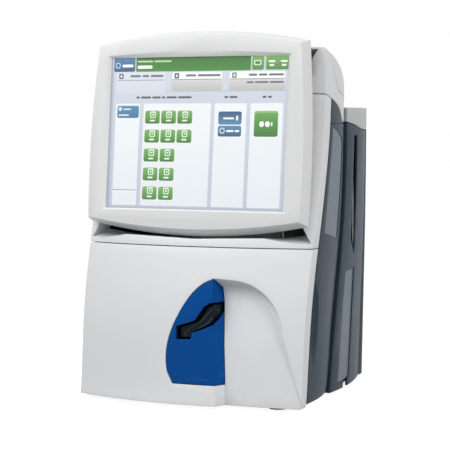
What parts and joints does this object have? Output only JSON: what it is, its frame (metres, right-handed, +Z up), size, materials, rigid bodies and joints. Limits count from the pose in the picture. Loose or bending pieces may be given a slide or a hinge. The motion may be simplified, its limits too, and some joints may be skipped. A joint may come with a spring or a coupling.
{
  "type": "benchtop cartridge analyzer",
  "caption": "Benchtop blood analyzer with a tilting touch screen, blue sampler cover, side cartridge door and top printer lid.",
  "frame": {"origin": "middle of the footprint, on the table", "axes": "+Z up, +X to the viewer's right when facing the screen, -Y out of the front"},
  "size_m": [0.3248, 0.4174, 0.4727],
  "materials": {
    "pale_shell": "fine satin texture",
    "slate_side": "fine satin texture",
    "slate_mesh": "fine open mesh",
    "cap_grey": "satin",
    "blue_gloss": "polished",
    "dark_gloss": "polished",
    "bezel_plastic": "satin",
    "touch_glass": "clear",
    "screen": "lit picture",
    "black_plastic": "fine grain",
    "rubber": "matt",
    "zinc_sheet": "zinc plated sheet",
    "steel": "machined",
    "chrome": "plated",
    "aluminium": "satin",
    "board_green": "solder mask",
    "paper": "matt paper",
    "clear_grey": "moulded",
    "guide_teal": "polished"
  },
  "bodies": {
    "housing": {"lower_front_panel": "pale_shell", "sampler_cover": "blue_gloss", "front_frame": "pale_shell", "door_head_strip": "slate_side", "left_side_panel": "slate_side", "left_side_mesh": "slate_mesh", "top_cover": "pale_shell", "sampler_guide": "guide_teal", "rear_side_right": "slate_side", "rear_side_left": "slate_side", "rear_cap": "cap_grey", "rear_slot_vents": "dark_gloss", "rear_lower_vents": "slate_mesh", "rear_panel": "zinc_sheet", "rear_screws": "steel", "fan_frame": "black_plastic", "fan_guard": "chrome", "power_inlet": "black_plastic", "switch_frame": "black_plastic", "port_block": "black_plastic", "bulkhead": "zinc_sheet", "display_brackets": "steel", "display_pins": "steel", "sampler_rail": "steel", "sampler_motor": "black_plastic", "hinge_post": "zinc_sheet", "door_pins": "steel", "door_magnet": "black_plastic", "base_plate": "zinc_sheet", "feet": "rubber", "chassis": "zinc_sheet", "cartridge_bay": "black_plastic", "cartridge": "clear_grey", "pump_motor": "black_plastic", "power_supply": "aluminium", "main_board": "board_green", "board_bracket": "zinc_sheet", "printer_frame": "black_plastic", "print_head": "aluminium", "lid_pins": "steel"},
    "display": {"display_bezel": "bezel_plastic", "display_gasket": "rubber", "touch_glass": "touch_glass", "lcd_panel": "screen", "display_board": "board_green", "display_board_screws": "steel", "display_back": "bezel_plastic"},
    "lid": {"printer_lid": "pale_shell"},
    "door": {"cartridge_door": "slate_side", "cartridge_door_mesh": "slate_mesh", "strike_plate": "steel"},
    "sampler": {"sampler_arm": "dark_gloss", "probe": "steel"},
    "screw_shaft": {"sampler_screw": "steel"},
    "paper": {"paper_roll": "paper", "paper_spindle": "black_plastic"},
    "platen": {"platen_roller": "rubber"},
    "rocker": {"power_rocker": "black_plastic"},
    "fan": {"fan_rotor": "black_plastic"},
    "pump": {"pump_rotor": "clear_grey"}
  },
  "joints": [
    {"name": "display_tilt", "type": "hinge", "parent": "housing", "child": "display", "pos_m": [0, -0.1193, 0.429], "axis": [-1, 0, 0], "range_deg": [0, 15]},
    {"name": "lid_hinge", "type": "hinge", "parent": "housing", "child": "lid", "pos_m": [0, 0.0275, 0.389], "axis": [-1, 0, 0], "range_deg": [0, 70]},
    {"name": "door_hinge", "type": "hinge", "parent": "housing", "child": "door", "pos_m": [0.124, -0.0373, 0.004], "axis": [0, 0, 1], "range_deg": [0, 95]},
    {"name": "sampler_slide", "type": "slide", "parent": "housing", "child": "sampler", "axis": [0, -1, 0], "range_m": [0, 0.024]},
    {"name": "screw_turn", "type": "hinge", "parent": "housing", "child": "screw_shaft", "pos_m": [-0.051, -0.1173, 0.066], "axis": [0, 1, 0], "range_deg": [0, 1080]},
    {"name": "platen_turn", "type": "hinge", "parent": "housing", "child": "platen", "pos_m": [0, -0.0693, 0.422], "axis": [1, 0, 0], "continuous": true},
    {"name": "paper_unwind", "type": "hinge", "parent": "housing", "child": "paper", "pos_m": [0, -0.0273, 0.391], "axis": [1, 0, 0], "continuous": true},
    {"name": "rocker_tip", "type": "hinge", "parent": "housing", "child": "rocker", "pos_m": [0.003, 0.1997, 0.05], "axis": [1, 0, 0], "range_deg": [-14, 0]},
    {"name": "fan_spin", "type": "hinge", "parent": "housing", "child": "fan", "pos_m": [0, 0.1927, 0.266], "axis": [0, 1, 0], "continuous": true},
    {"name": "pump_spin", "type": "hinge", "parent": "housing", "child": "pump", "pos_m": [-0.024, -0.0883, 0.114], "axis": [1, 0, 0], "continuous": true}
  ],
  "couplings": [
    {"joint": "screw_turn", "follows": "sampler_slide", "rad_per_m": 785.4}
  ]
}
